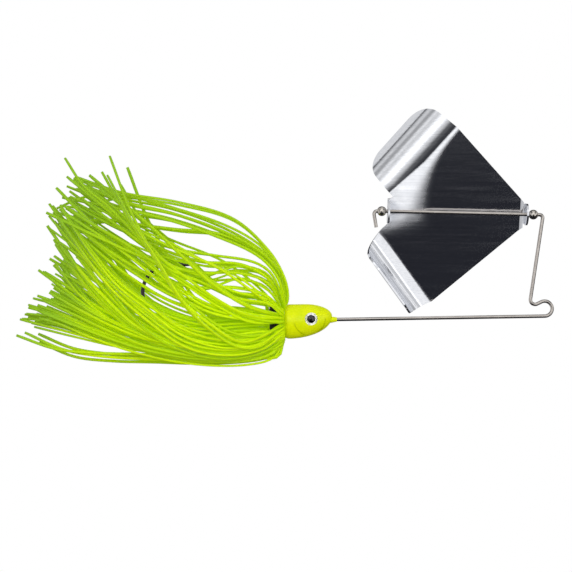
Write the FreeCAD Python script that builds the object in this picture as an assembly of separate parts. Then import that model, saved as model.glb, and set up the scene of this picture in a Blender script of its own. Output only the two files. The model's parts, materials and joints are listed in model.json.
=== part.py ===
"""A buzzbait: a wire-framed surface lure with a spinning metal blade, a painted head and a skirted hook.

Millimetres. The origin is the centre of the line-tie bend at the front of the wire.
+X runs forward along the lower wire arm, +Z is up with the blade above the head, and +Y is the lure's
left side.
"""
import FreeCAD
import Part
import math
import os
from FreeCAD import Vector

# --- driving dimensions: the wire frame ---------------------------------------------------------------
WIRE_DIAMETER = 1.14
ARM_LENGTH = 71.2
LINE_TIE_RADIUS = 2.4
LINE_TIE_TURN = 205.0
DIP_STRAIGHT = 1.5
DIP_RADIUS = 1.5
UPRIGHT_HEADING = 80.5
UPRIGHT_LENGTH = 26.1
TOP_BEND_RADIUS = 1.0
SHAFT_TILT = 2.22
SHAFT_LENGTH = 51.95
TAIL_BEND_RADIUS = 1.0
TAIL_HEADING = 278.6
TAIL_LENGTH = 4.1
WIRE_EYE_RADIUS = 1.9
WIRE_EYE_LEAD_RADIUS = 1.6
WIRE_EYE_END_ANGLE = 300.0

# --- driving dimensions: the blade and its beads ------------------------------------------------------
SHEET = 0.6
PLATE_SETBACK = 2.5
BLADE_LEAN = 14.0
BLADE_REAR_STATION = 50.55
SHAFT_HOLE_DIAMETER = 1.30
FRONT_FOLD = 44.1
FRONT_SHOULDERS = (-6.0, 5.2)
FRONT_TAPER_LENGTH = 1.5
FRONT_TAPER_END = (-4.7, 3.6)
FRONT_EAR_BEND_RADIUS = 2.2
FRONT_EAR_RADIUS = 3.5
REAR_FOLD = 2.95
REAR_SHOULDERS = (-3.8, 3.8)
REAR_EAR_BEND_RADIUS = 0.8
REAR_EAR_RADIUS = 3.8
BEAD_DIAMETER = 3.18
BEAD_BORE = 1.26
FRONT_BEAD_STATION = 2.0
REAR_BEAD_STATION = 50.5
TOP_WING = {
    "side": 1, "corner": (23.0, 27.2), "fold_angle": 50.0, "radius": 13.6, "width": 14.8,
    "length": 30.0, "end_slope": 0.05, "notch_slope": 0.12, "end_round": 8.5, "notch_round": 7.0,
}
BOTTOM_WING = {
    "side": -1, "corner": (17.7, 29.9), "fold_angle": 53.0, "radius": 7.5, "width": 14.4,
    "length": 29.2, "end_slope": 0.22, "notch_slope": 0.28, "end_round": 6.0, "notch_round": 7.0,
}

# --- driving dimensions: the head ---------------------------------------------------------------------
HEAD_NOSE_X = -68.0
HEAD_LENGTH = 15.15
NOSE_Z = -1.3
HEAD_RISE = 4.0
HEAD_DROP = 7.0
HEAD_HALF_WIDTH = 4.2
TOP_FULL_AT = 8.7
BOTTOM_FULL_AT = 14.0
WIDTH_FULL_AT = 9.0
NOSE_SLEEVE_X = -66.5
NOSE_SLEEVE_RADIUS = 0.7
NOSE_SLEEVE_DEPTH = 2.5
SECTION_DISTANCES = (0.04, 0.3, 1.0, 2.2, 4.0, 6.4, 9.2, 12.0)
BACK_ROUND_DISTANCES = (13.6, 14.6, HEAD_LENGTH)
BACK_ROUND_SCALES = (1.0, 0.975, 0.91)
KEEPER_RADIUS = 1.9
KEEPER_END_X = -91.5
KEEPER_DEPTH_IN_HEAD = 1.0
BARB_RADIUS = 2.5
BARB_LENGTH = 1.0
BARB_XS = (-89.4, -90.5)

# --- driving dimensions: the eyes ---------------------------------------------------------------------
EYE_X = -74.8
EYE_Z = -2.0
EYE_DIAMETER = 4.0
PUPIL_DIAMETER = 2.6
EYE_FLOOR_Y = 3.3
FOIL_THICKNESS = 0.15
PUPIL_THICKNESS = 0.1
EYE_DOME_HEIGHT = 0.95
EYE_SOCKET_CLEARANCE = 0.05
CREASE_WIDTH = 0.4
CREASE_SCALE = 0.93
CREASES = ({"radius": 5.5, "start": 192.0, "turn": 60.0}, {"radius": 4.5, "start": -62.0, "turn": 64.0})

# --- driving dimensions: the hook ---------------------------------------------------------------------
HOOK_WIRE_DIAMETER = 1.2
HOOK_EYE_RADIUS = 1.75
HOOK_EYE_X = -76.65
HOOK_BEND_X = -119.1
HOOK_BEND_RADIUS = 9.4
HOOK_BEND_TURN = 188.0
HOOK_SPEAR_STRAIGHT = 2.6
HOOK_POINT_LENGTH = 2.8
HOOK_TIP_RADIUS = 0.06
HOOK_BARB_LENGTH = 1.8
HOOK_BARB_HEIGHT = 0.55
HOOK_BARB_THICKNESS = 0.5
HOOK_BARB_SETBACK = 0.55

# --- driving dimensions: the skirt --------------------------------------------------------------------
BAND_FRONT_X = -85.0
BAND_REAR_X = -88.0
BAND_INNER_RADIUS = 3.4
BAND_OUTER_RADIUS = 5.0
BAND_EDGE_ROUND = 0.6
CORE_FRONT_X = -83.6
CORE_REAR_X = -88.9
CORE_FLARE_RADIUS = 4.5
CORE_END_RADIUS = 4.1
ROOT_FRONT = (-84.3, 6.0, 1.0)
ROOT_OVER_BAND = (-86.3, 6.8, 1.3)

WIRE_RADIUS = WIRE_DIAMETER / 2
ARM_Z = -LINE_TIE_RADIUS
UP = Vector(0, 0, 1)
LEFT = Vector(0, 1, 0)
FORWARD = Vector(1, 0, 0)


class Pen:
    """Draws a round wire in the XZ plane, run by run. Headings are degrees from +X towards +Z."""

    def __init__(self, x, z, heading, wire_radius):
        self.place = Vector(x, 0, z)
        self.heading = heading
        self.wire_radius = wire_radius
        self.pieces = []

    def direction(self):
        angle = math.radians(self.heading)
        return Vector(math.cos(angle), 0, math.sin(angle))

    def forward(self, length):
        self.pieces.append(Part.makeCylinder(self.wire_radius, length, self.place, self.direction()))
        self.place = self.place + self.direction() * length

    def turn(self, bend_radius, degrees):
        """A bend of that centre-line radius: a positive angle turns from +X towards +Z."""
        sense = math.copysign(1.0, degrees)
        ahead = self.direction()
        to_centre = Vector(-ahead.z, 0, ahead.x) * sense
        centre = self.place + to_centre * bend_radius
        axis = Vector(0, -sense, 0)
        section = Part.Face(Part.Wire(Part.Circle(self.place, ahead, self.wire_radius).toShape()))
        self.pieces.append(section.revolve(centre, axis, abs(degrees)))
        spin = FreeCAD.Rotation(axis, abs(degrees))
        self.place = centre + spin.multVec(self.place - centre)
        self.heading += degrees


def fuse(shapes):
    joined = shapes[0].multiFuse(shapes[1:]).removeSplitter()
    return joined.Solids[0] if len(joined.Solids) == 1 else joined


def frame_of(origin, x_axis, y_axis, z_axis):
    """A placement whose local axes are the three given directions."""
    matrix = FreeCAD.Matrix(
        x_axis.x, y_axis.x, z_axis.x, origin.x,
        x_axis.y, y_axis.y, z_axis.y, origin.y,
        x_axis.z, y_axis.z, z_axis.z, origin.z,
        0, 0, 0, 1,
    )
    return FreeCAD.Placement(matrix)


# --- wire frame ---------------------------------------------------------------------------------------
def front_wire():
    """From the head: the arm, line-tie bend, dip, upright, blade shaft and turned-down tail."""
    pen = Pen(-ARM_LENGTH, ARM_Z, 0.0, WIRE_RADIUS)
    pen.forward(ARM_LENGTH)
    pen.turn(LINE_TIE_RADIUS, LINE_TIE_TURN)
    pen.forward(DIP_STRAIGHT)
    pen.turn(DIP_RADIUS, UPRIGHT_HEADING - LINE_TIE_TURN)
    pen.forward(UPRIGHT_LENGTH)
    pen.turn(TOP_BEND_RADIUS, 180.0 - SHAFT_TILT - UPRIGHT_HEADING)
    shaft_start = pen.place
    shaft_direction = pen.direction()
    pen.forward(SHAFT_LENGTH)
    pen.turn(TAIL_BEND_RADIUS, TAIL_HEADING - (180.0 - SHAFT_TILT))
    pen.forward(TAIL_LENGTH)
    return pen.pieces, shaft_start, shaft_direction


def rear_wire_eye():
    """The open eye at the arm's rear end, cast inside the head, which the hook's eye is threaded on."""
    pen = Pen(-ARM_LENGTH, ARM_Z, 180.0, WIRE_RADIUS)
    offset = math.degrees(math.asin(WIRE_EYE_LEAD_RADIUS / (WIRE_EYE_LEAD_RADIUS + WIRE_EYE_RADIUS)))
    lead_turn = 90.0 - offset
    pen.turn(WIRE_EYE_LEAD_RADIUS, -lead_turn)
    pen.turn(WIRE_EYE_RADIUS, WIRE_EYE_END_ANGLE - offset)
    return pen.pieces


def shaft_point(station):
    """A point on the blade shaft, at that distance behind the top bend."""
    return SHAFT_START + SHAFT_DIRECTION * station


# --- blade --------------------------------------------------------------------------------------------
def rounded_corner(before, corner, after, radius, steps=8):
    """Points along the round that replaces a corner of the flat outline."""
    to_before = (before - corner).normalize()
    to_after = (after - corner).normalize()
    half = to_before.getAngle(to_after) / 2
    centre = corner + (to_before + to_after).normalize() * (radius / math.sin(half))
    first = corner + to_before * (radius / math.tan(half))
    last = corner + to_after * (radius / math.tan(half))
    start = math.atan2(first.y - centre.y, first.x - centre.x)
    sweep = math.atan2(last.y - centre.y, last.x - centre.x) - start
    sweep = (sweep + math.pi) % (2 * math.pi) - math.pi
    angles = [start + sweep * i / steps for i in range(steps + 1)]
    return [centre + Vector(math.cos(a), math.sin(a), 0) * radius for a in angles]


def wing_outline(wing):
    """The flat wing as runs of points. x is the distance from the fold and y runs down the fold."""
    width, length = wing["width"], wing["length"]
    fold_end = Vector(0, 0, 0)
    outer_end = Vector(width, wing["end_slope"] * width, 0)
    outer_notch = Vector(width, length - wing["notch_slope"] * width, 0)
    fold_notch = Vector(0, length, 0)
    end_round = rounded_corner(fold_end, outer_end, outer_notch, wing["end_round"])
    notch_round = rounded_corner(outer_end, outer_notch, fold_notch, wing["notch_round"])
    return [
        [fold_end, end_round[0]],
        end_round,
        [end_round[-1], notch_round[0]],
        notch_round,
        [notch_round[-1], fold_notch],
        [fold_notch, fold_end],
    ]


def wrapped_edges(outline, bend_radius, surface_radius):
    """The flat outline rolled onto a cylinder about Z. It bends about the sheet's middle surface."""
    surface = Part.Cylinder()
    surface.Radius = surface_radius
    edges = []
    for run in outline:
        points = [FreeCAD.Base.Vector2d(p.x / bend_radius, p.y) for p in run]
        if len(points) == 2:
            curve = Part.Geom2d.Line2dSegment(points[0], points[1])
        else:
            curve = Part.Geom2d.BSplineCurve2d()
            curve.interpolate(points)
        edges.append(curve.toShape(surface))
    return surface, edges


def rolled_wing(wing):
    """One curled wing: inner skin, outer skin and the cut edges between them."""
    outline = wing_outline(wing)
    radius = wing["radius"]
    faces = []
    rims = []
    for skin_radius in (radius - SHEET / 2, radius + SHEET / 2):
        surface, edges = wrapped_edges(outline, radius, skin_radius)
        faces.append(Part.Face(surface, Part.Wire(edges)))
        rims.append(edges)
    for inner, outer in zip(*rims):
        faces.append(Part.makeRuledSurface(inner, outer))
    shell = Part.makeShell(faces)
    shell.sewShape()
    solid = Part.makeSolid(shell)
    return placed_wing(solid, wing)


def placed_wing(solid, wing):
    """Sets a rolled wing on its fold line. The upper wing curls to the left, the lower one to the right."""
    side = wing["side"]
    angle = math.radians(wing["fold_angle"])
    down_the_fold = Vector(-math.cos(angle), 0, -side * math.sin(angle))
    outward = Vector(-math.sin(angle), 0, side * math.cos(angle))
    curl = LEFT * side
    across, up = wing["corner"]
    centre = Vector(across, 0, side * up) + curl * wing["radius"]
    return solid.transformed(frame_of(centre, curl * -1, outward, down_the_fold).Matrix)


def fold_notch_point(wing):
    angle = math.radians(wing["fold_angle"])
    across, up = wing["corner"]
    along = wing["length"]
    return across - math.cos(angle) * along, wing["side"] * (up - math.sin(angle) * along)


def flat_plate():
    top_across, top_up = TOP_WING["corner"]
    bottom_across, bottom_up = BOTTOM_WING["corner"]
    corners = [
        (FRONT_FOLD, FRONT_SHOULDERS[0]),
        (FRONT_FOLD, FRONT_SHOULDERS[1]),
        (top_across, top_up),
        fold_notch_point(TOP_WING),
        (REAR_FOLD, REAR_SHOULDERS[1]),
        (REAR_FOLD, REAR_SHOULDERS[0]),
        fold_notch_point(BOTTOM_WING),
        (bottom_across, -bottom_up),
    ]
    points = [Vector(x, -SHEET / 2, z) for x, z in corners]
    face = Part.Face(Part.makePolygon(points + [points[0]]))
    return face.extrude(LEFT * SHEET)


def folded_strip(fold, shoulders, sense, bend_radius, tab_end):
    """The sheet between two shoulders, folded square to the right. sense is 1 at the front fold."""
    bottom, top = shoulders
    foot = Vector(fold, -SHEET / 2, bottom)
    to_top = UP * (top - bottom)
    corners = [foot, foot + LEFT * SHEET, foot + LEFT * SHEET + to_top, foot + to_top, foot]
    section = Part.Face(Part.makePolygon(corners))
    centre = Vector(fold, -bend_radius, 0)
    axis = Vector(0, 0, -sense)
    bend = section.revolve(centre, axis, 90.0)
    section.rotate(centre, axis, 90.0)
    return fuse([bend, section.extrude(LEFT * -(tab_end - bend_radius))])


def ear_disc(fold, radius, sense):
    """A thick disc about the shaft's line that gives an ear its rounded end."""
    return Part.makeCylinder(radius, radius + SHEET, Vector(fold, -PLATE_SETBACK, 0), FORWARD * sense)


def front_ear():
    """Its wide bend goes on tapering with the plate, and then the ear rounds off about the shaft."""
    strip = folded_strip(
        FRONT_FOLD, FRONT_SHOULDERS, 1, FRONT_EAR_BEND_RADIUS, PLATE_SETBACK + FRONT_EAR_RADIUS
    )
    taper_x = FRONT_FOLD + FRONT_TAPER_LENGTH
    corners = [
        (FRONT_FOLD, FRONT_SHOULDERS[0]),
        (FRONT_FOLD, FRONT_SHOULDERS[1]),
        (taper_x, FRONT_TAPER_END[1]),
        (taper_x, FRONT_TAPER_END[0]),
    ]
    points = [Vector(x, SHEET, z) for x, z in corners]
    taper = Part.Face(Part.makePolygon(points + [points[0]])).extrude(LEFT * -PLATE_SETBACK)
    return strip.common(fuse([taper, ear_disc(FRONT_FOLD, FRONT_EAR_RADIUS, 1)]))


def rear_ear():
    """It keeps its full height from a tight bend to the shaft, and then rounds off."""
    bend_radius = REAR_EAR_BEND_RADIUS
    to_shaft = folded_strip(REAR_FOLD, REAR_SHOULDERS, -1, bend_radius, PLATE_SETBACK)
    strip = folded_strip(REAR_FOLD, REAR_SHOULDERS, -1, bend_radius, PLATE_SETBACK + REAR_EAR_RADIUS)
    return fuse([to_shaft, strip.common(ear_disc(REAR_FOLD, REAR_EAR_RADIUS, -1))])


def blade():
    """One stamped sheet: a plate, two curled wings and two ears with the shaft holes."""
    wings = [rolled_wing(TOP_WING), rolled_wing(BOTTOM_WING)]
    sheet = fuse([flat_plate(), front_ear(), rear_ear()] + wings)
    reach = 2 * FRONT_FOLD
    shaft_centre = Vector(-FRONT_FOLD / 2, -PLATE_SETBACK, 0)
    holes = Part.makeCylinder(SHAFT_HOLE_DIAMETER / 2, reach, shaft_centre, FORWARD)
    sheet = sheet.cut(holes)
    sheet.translate(LEFT * PLATE_SETBACK)
    sheet.rotate(Vector(0, 0, 0), FORWARD, BLADE_LEAN)
    sheet.rotate(Vector(0, 0, 0), LEFT, SHAFT_TILT)
    sheet.translate(shaft_point(BLADE_REAR_STATION))
    return sheet.Solids[0]


def bead(station):
    """A drilled metal ball on the blade shaft."""
    centre = shaft_point(station)
    ball = Part.makeSphere(BEAD_DIAMETER / 2)
    bore = Part.makeCylinder(BEAD_BORE / 2, 2 * BEAD_DIAMETER, Vector(0, 0, -BEAD_DIAMETER), UP)
    drilled = ball.cut(bore)
    drilled.Placement = FreeCAD.Placement(centre, FreeCAD.Rotation(UP, SHAFT_DIRECTION))
    return drilled


# --- head ---------------------------------------------------------------------------------------------
def quarter_round(distance, full_at):
    """0 at the nose, 1 from full_at back: a quarter ellipse between."""
    left = max(0.0, 1.0 - distance / full_at)
    return math.sqrt(max(0.0, 1.0 - left * left))


def head_section(distance, shrink):
    """An upright ellipse across the head, at that distance behind the nose."""
    top = NOSE_Z + HEAD_RISE * quarter_round(distance, TOP_FULL_AT)
    bottom = NOSE_Z - HEAD_DROP * quarter_round(distance, BOTTOM_FULL_AT)
    half_height = (top - bottom) / 2 * shrink
    half_width = HEAD_HALF_WIDTH * quarter_round(distance, WIDTH_FULL_AT) * shrink
    centre = Vector(HEAD_NOSE_X - distance, 0, (top + bottom) / 2)
    ellipse = Part.Ellipse(Vector(0, 0, 0), half_height, half_width)
    wire = Part.Wire(ellipse.toShape())
    return wire.transformed(frame_of(centre, UP, LEFT, FORWARD * -1).Matrix)


def head_body(scale=1.0):
    """A bullet-shaped casting, deeper below the wire than above it, with a flat back."""
    sections = [head_section(distance, scale) for distance in SECTION_DISTANCES]
    for distance, shrink in zip(BACK_ROUND_DISTANCES, BACK_ROUND_SCALES):
        sections.append(head_section(distance, shrink * scale))
    return Part.makeLoft(sections, True, False)


def along_arm(radius, front_x, rear_x):
    """A cylinder round the arm's line."""
    return Part.makeCylinder(radius, front_x - rear_x, Vector(front_x, 0, ARM_Z), FORWARD * -1)


def nose_sleeve():
    front = Vector(NOSE_SLEEVE_X, 0, ARM_Z)
    depth = NOSE_SLEEVE_X - HEAD_NOSE_X + NOSE_SLEEVE_DEPTH
    return Part.makeCone(NOSE_SLEEVE_RADIUS, 2 * NOSE_SLEEVE_RADIUS, depth, front, FORWARD * -1)


def skirt_keeper():
    """The barbed lead stem behind the head that holds the skirt's band."""
    stem_front = HEAD_NOSE_X - HEAD_LENGTH + KEEPER_DEPTH_IN_HEAD
    stem = along_arm(KEEPER_RADIUS, stem_front, KEEPER_END_X)
    barbs = []
    for front_x in BARB_XS:
        start = Vector(front_x, 0, ARM_Z)
        barbs.append(Part.makeCone(BARB_RADIUS, KEEPER_RADIUS, BARB_LENGTH, start, FORWARD * -1))
    return [stem] + barbs


def crease(side, radius, start, turn):
    """An arc of a ring round the eye, out through the side of the head. Angles go from +X to +Z."""
    centre = Vector(EYE_X, 0, EYE_Z)
    angle = math.radians(start)
    outward = Vector(math.cos(angle), 0, math.sin(angle))
    inner = centre + outward * (radius - CREASE_WIDTH / 2)
    outer = centre + outward * (radius + CREASE_WIDTH / 2)
    to_side = LEFT * (side * 2 * HEAD_HALF_WIDTH)
    face = Part.Face(Part.makePolygon([inner, outer, outer + to_side, inner + to_side, inner]))
    return face.revolve(centre, LEFT * -1, turn)


def head(wire, hook_solid):
    """The painted casting, with shallow gill and cheek creases on both sides."""
    body = head_body()
    uncreased = head_body(CREASE_SCALE)
    for side in (-1, 1):
        for arc in CREASES:
            body = body.cut(crease(side, **arc).cut(uncreased))
    casting = fuse([body, nose_sleeve()] + skirt_keeper())
    for side in (-1, 1):
        floor = Vector(EYE_X, side * EYE_FLOOR_Y, EYE_Z)
        socket_radius = EYE_DIAMETER / 2 + EYE_SOCKET_CLEARANCE
        casting = casting.cut(Part.makeCylinder(socket_radius, HEAD_HALF_WIDTH, floor, LEFT * side))
    casting = casting.cut(hook_solid).cut(wire)
    return max(casting.Solids, key=lambda s: s.Volume)


# --- eyes ---------------------------------------------------------------------------------------------
def eye_disc(diameter, thickness, height, side):
    """A disc lying at that height above the floor of the eye socket."""
    base = Vector(EYE_X, side * (EYE_FLOOR_Y + height), EYE_Z)
    return Part.makeCylinder(diameter / 2, thickness, base, LEFT * side)


def eye_foil(side):
    return eye_disc(EYE_DIAMETER, FOIL_THICKNESS, 0.0, side)


def eye_pupil(side):
    return eye_disc(PUPIL_DIAMETER, PUPIL_THICKNESS, FOIL_THICKNESS, side)


def eye_dome(side):
    """A clear dome: a ball's cap over the foil and the pupil."""
    half = EYE_DIAMETER / 2
    ball_radius = (half * half + EYE_DOME_HEIGHT ** 2) / (2 * EYE_DOME_HEIGHT)
    base_y = EYE_FLOOR_Y + FOIL_THICKNESS
    centre = Vector(EYE_X, side * (base_y + EYE_DOME_HEIGHT - ball_radius), EYE_Z)
    ball = Part.makeSphere(ball_radius, centre)
    slab = eye_disc(EYE_DIAMETER, EYE_DOME_HEIGHT, FOIL_THICKNESS, side)
    return ball.common(slab).cut(eye_pupil(side))


# --- hook ---------------------------------------------------------------------------------------------
def hook():
    """A ring-eyed single hook that lies in the XZ plane, with its point above the shank."""
    radius = HOOK_WIRE_DIAMETER / 2
    ring = Part.makeTorus(HOOK_EYE_RADIUS, radius, Vector(HOOK_EYE_X, 0, ARM_Z), UP)
    shank_start = HOOK_EYE_X - HOOK_EYE_RADIUS
    pen = Pen(shank_start, ARM_Z, 180.0, radius)
    pen.forward(shank_start - HOOK_BEND_X)
    pen.turn(HOOK_BEND_RADIUS, -HOOK_BEND_TURN)
    pen.forward(HOOK_SPEAR_STRAIGHT)
    ahead = pen.direction()
    point = Part.makeCone(radius, HOOK_TIP_RADIUS, HOOK_POINT_LENGTH, pen.place, ahead)
    return fuse([ring, point, hook_barb(pen.place, ahead, radius)] + pen.pieces)


def hook_barb(spear_end, ahead, radius):
    """A thin cut barb on the side of the spear that faces the shank."""
    inward = Vector(ahead.z, 0, -ahead.x)
    half_thickness = HOOK_BARB_THICKNESS / 2
    start = spear_end - ahead * HOOK_BARB_SETBACK
    foot = start + ahead * HOOK_BARB_LENGTH
    lifted = start + inward * (radius + HOOK_BARB_HEIGHT)
    triangle = [p - LEFT * half_thickness for p in (start, foot, lifted)]
    return Part.Face(Part.makePolygon(triangle + [triangle[0]])).extrude(LEFT * HOOK_BARB_THICKNESS)


# --- skirt --------------------------------------------------------------------------------------------
def turned_about_arm(profile):
    """Turns a closed (x, radius) outline about the arm's line."""
    points = [Vector(x, 0, ARM_Z + radius) for x, radius in profile]
    face = Part.Face(Part.makePolygon(points + [points[0]]))
    return face.revolve(Vector(0, 0, ARM_Z), FORWARD, 360.0)


def skirt_band():
    """The rubber ring that binds the strands to the keeper."""
    ring = turned_about_arm([
        (BAND_FRONT_X, BAND_INNER_RADIUS),
        (BAND_FRONT_X, BAND_OUTER_RADIUS),
        (BAND_REAR_X, BAND_OUTER_RADIUS),
        (BAND_REAR_X, BAND_INNER_RADIUS),
    ])
    rims = [e for e in ring.Edges if is_outer_rim(e)]
    return ring.makeFillet(BAND_EDGE_ROUND, rims)


def is_outer_rim(edge):
    return isinstance(edge.Curve, Part.Circle) and abs(edge.Curve.Radius - BAND_OUTER_RADIUS) < 1e-6


def skirt_core():
    """The strands packed between the keeper and the band, flaring at both ends of it."""
    return turned_about_arm([
        (CORE_FRONT_X, KEEPER_RADIUS),
        (CORE_FRONT_X, CORE_FLARE_RADIUS),
        (BAND_FRONT_X, CORE_FLARE_RADIUS),
        (BAND_FRONT_X, BAND_INNER_RADIUS),
        (BAND_REAR_X, BAND_INNER_RADIUS),
        (BAND_REAR_X, CORE_FLARE_RADIUS),
        (CORE_REAR_X, CORE_END_RADIUS),
        (CORE_REAR_X, KEEPER_RADIUS),
    ])


# Each lock of strands leaves the band at its own angle from +Z, and then follows its stations:
# x, distance from the middle plane, z and half thickness.
LOCKS = {
    "top": {"angle": 20.0, "stations": [
        (-88.0, 4.8, 12.0, 1.9), (-90.5, 6.2, 23.0, 2.6), (-97.0, 6.8, 30.0, 3.2),
        (-107.0, 7.0, 34.0, 3.4), (-121.0, 6.5, 36.5, 3.6), (-136.0, 5.6, 39.5, 3.4),
    ]},
    "upper": {"angle": 50.0, "stations": [
        (-88.5, 9.2, 7.5, 1.7), (-93.0, 12.0, 13.5, 2.4), (-100.0, 13.0, 17.3, 2.9),
        (-113.0, 13.0, 20.0, 3.2), (-128.5, 11.5, 25.5, 3.4), (-143.0, 9.0, 31.5, 3.2),
        (-156.5, 7.0, 37.0, 2.5),
    ]},
    "crossing": {"angle": 90.0, "stations": [
        (-90.0, 12.0, -2.8, 1.8), (-97.0, 16.5, -3.6, 2.3), (-106.0, 19.0, -2.6, 2.5),
        (-116.5, 20.0, 5.5, 2.5), (-126.0, 19.5, 20.5, 2.5), (-134.0, 17.5, 37.0, 2.4),
    ]},
    "sweeping": {"angle": 128.0, "stations": [
        (-89.5, 8.2, -7.6, 1.9), (-98.0, 9.8, -9.3, 2.7), (-110.0, 10.5, -9.9, 3.3),
        (-122.0, 10.5, -6.0, 3.6), (-133.0, 9.5, -0.5, 3.6), (-142.0, 8.5, 7.5, 3.4),
        (-149.0, 8.0, 15.0, 3.1), (-157.5, 7.0, 27.0, 2.4),
    ]},
    "bottom": {"angle": 163.0, "stations": [
        (-90.0, 3.8, -11.0, 1.8), (-98.0, 4.6, -13.6, 2.6), (-110.5, 5.2, -14.5, 2.8),
        (-123.0, 5.0, -13.8, 2.9), (-136.0, 4.8, -11.7, 2.8), (-150.0, 4.2, -8.0, 2.5),
    ]},
}
# The two sides differ at their tips: x, distance from the middle plane, z and half thickness.
TIPS = {
    ("top", "right"): (-155.0, 4.6, 46.5, 2.4),
    ("top", "left"): (-148.0, 4.6, 50.0, 2.4),
    ("crossing", "right"): (-138.0, 16.4, 45.5, 2.1),
    ("crossing", "left"): (-135.6, 16.4, 47.5, 2.1),
    ("bottom", "right"): (-167.5, 3.7, -4.9, 1.7),
    ("bottom", "left"): (-162.0, 4.6, 1.5, 1.9),
}


def lock(name, side_name):
    """One lock of skirt strands, as a plain tapered tube round them."""
    side = {"right": -1, "left": 1}[side_name]
    angle = math.radians(LOCKS[name]["angle"])
    stations = []
    for x, reach, half in (ROOT_FRONT, ROOT_OVER_BAND):
        stations.append((x, reach * math.sin(angle), ARM_Z + reach * math.cos(angle), half))
    stations += LOCKS[name]["stations"]
    if (name, side_name) in TIPS:
        stations.append(TIPS[(name, side_name)])
    centres = [Vector(x, side * y, z) for x, y, z, _ in stations]
    halves = [half for _, _, _, half in stations]
    path = Part.BSplineCurve()
    path.interpolate(centres)
    sections = []
    for centre, half in zip(centres, halves):
        tangent = path.tangent(path.parameter(centre))[0]
        across = (LEFT - tangent * LEFT.dot(tangent)).normalize()
        placed = frame_of(centre, across, tangent.cross(across), tangent)
        circle = Part.Wire(Part.Circle(Vector(0, 0, 0), UP, half).toShape())
        sections.append(circle.transformed(placed.Matrix))
    return Part.makeLoft(sections, True, False)


# --- the assembly -------------------------------------------------------------------------------------
FRONT_PIECES, SHAFT_START, SHAFT_DIRECTION = front_wire()
WIRE = fuse(FRONT_PIECES + rear_wire_eye())
HOOK = hook()

NODES = {
    "wire_frame": WIRE,
    "hook": HOOK,
    "head_casting": head(WIRE, HOOK),
    "blade": blade(),
    "front_bead": bead(FRONT_BEAD_STATION),
    "rear_bead": bead(REAR_BEAD_STATION),
    "skirt_band": skirt_band(),
    "skirt_core": skirt_core(),
}
for side_name, side in (("right", -1), ("left", 1)):
    NODES["eye_foil_" + side_name] = eye_foil(side)
    NODES["eye_pupil_" + side_name] = eye_pupil(side)
    NODES["eye_dome_" + side_name] = eye_dome(side)
    for lock_name in LOCKS:
        NODES["skirt_" + lock_name + "_" + side_name] = lock(lock_name, side_name)

os.makedirs("parts", exist_ok=True)
for node_name, shape in NODES.items():
    shape.exportStep("parts/" + node_name + ".step")
    print(node_name, "valid", shape.isValid(), len(shape.Solids), "solid", round(shape.Volume, 3))

blade_origin = shaft_point(BLADE_REAR_STATION)
print("shaft point", [round(c, 4) for c in blade_origin])
print("shaft direction", [round(c, 6) for c in SHAFT_DIRECTION * -1])
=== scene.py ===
"""The looks of the buzzbait: its camera, studio, materials, rubber band and silicone skirt strands."""

import json
import math
import random

import bpy
from mathutils import Matrix, Vector


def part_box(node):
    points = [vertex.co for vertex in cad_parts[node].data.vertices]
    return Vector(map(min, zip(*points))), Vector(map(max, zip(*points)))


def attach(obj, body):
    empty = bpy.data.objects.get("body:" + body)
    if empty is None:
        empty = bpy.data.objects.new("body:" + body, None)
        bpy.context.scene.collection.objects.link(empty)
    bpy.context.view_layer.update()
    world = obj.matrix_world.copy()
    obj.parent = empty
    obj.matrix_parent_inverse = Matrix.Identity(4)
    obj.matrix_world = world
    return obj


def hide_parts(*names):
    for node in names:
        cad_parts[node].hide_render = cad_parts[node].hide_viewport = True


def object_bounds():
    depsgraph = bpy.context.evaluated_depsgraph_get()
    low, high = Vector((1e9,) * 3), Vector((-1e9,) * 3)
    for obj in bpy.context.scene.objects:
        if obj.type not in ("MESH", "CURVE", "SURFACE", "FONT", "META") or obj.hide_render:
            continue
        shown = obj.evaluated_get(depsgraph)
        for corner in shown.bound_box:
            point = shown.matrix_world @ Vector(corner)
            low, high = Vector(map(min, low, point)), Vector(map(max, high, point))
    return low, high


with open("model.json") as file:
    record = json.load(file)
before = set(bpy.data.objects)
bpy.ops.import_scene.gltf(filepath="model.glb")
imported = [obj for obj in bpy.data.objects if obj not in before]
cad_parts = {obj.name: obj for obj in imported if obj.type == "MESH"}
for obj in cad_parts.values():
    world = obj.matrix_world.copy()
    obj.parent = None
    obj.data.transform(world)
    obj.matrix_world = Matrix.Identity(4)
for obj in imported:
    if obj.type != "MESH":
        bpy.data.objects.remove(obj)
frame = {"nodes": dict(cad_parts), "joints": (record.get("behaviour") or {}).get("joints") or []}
cad_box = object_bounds()

MM = 0.001
nodes = frame["nodes"]
shaft_joint = next(joint for joint in frame["joints"] if joint["name"] == "blade_spin")
SHAFT_POINT = Vector(shaft_joint["pos_m"])
SHAFT_AXIS = Vector(shaft_joint["axis"])
UP = Vector((0, 0, 1))
TO_LEFT = Vector((0, 1, 0))
# The blade's plate: up across the shaft, and out of its left face.
BLADE_LEAN = math.radians(14.0)
PLATE_UP = Matrix.Rotation(BLADE_LEAN, 3, SHAFT_AXIS) @ SHAFT_AXIS.cross(TO_LEFT)
PLATE_OUT = PLATE_UP.cross(SHAFT_AXIS)

# --- camera -------------------------------------------------------------------------------------------
SENSOR_WIDTH = 36.0
VIEW_DISTANCE = 450 * MM
VIEW_WIDTH = 183 * MM
VIEW_ROLL = math.radians(0.93)
VIEW_ALONG = -0.3 * MM
VIEW_DROP = 15.0 * MM
CLIP_NEAR = 10 * MM
CLIP_FAR = 20.0


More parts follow.
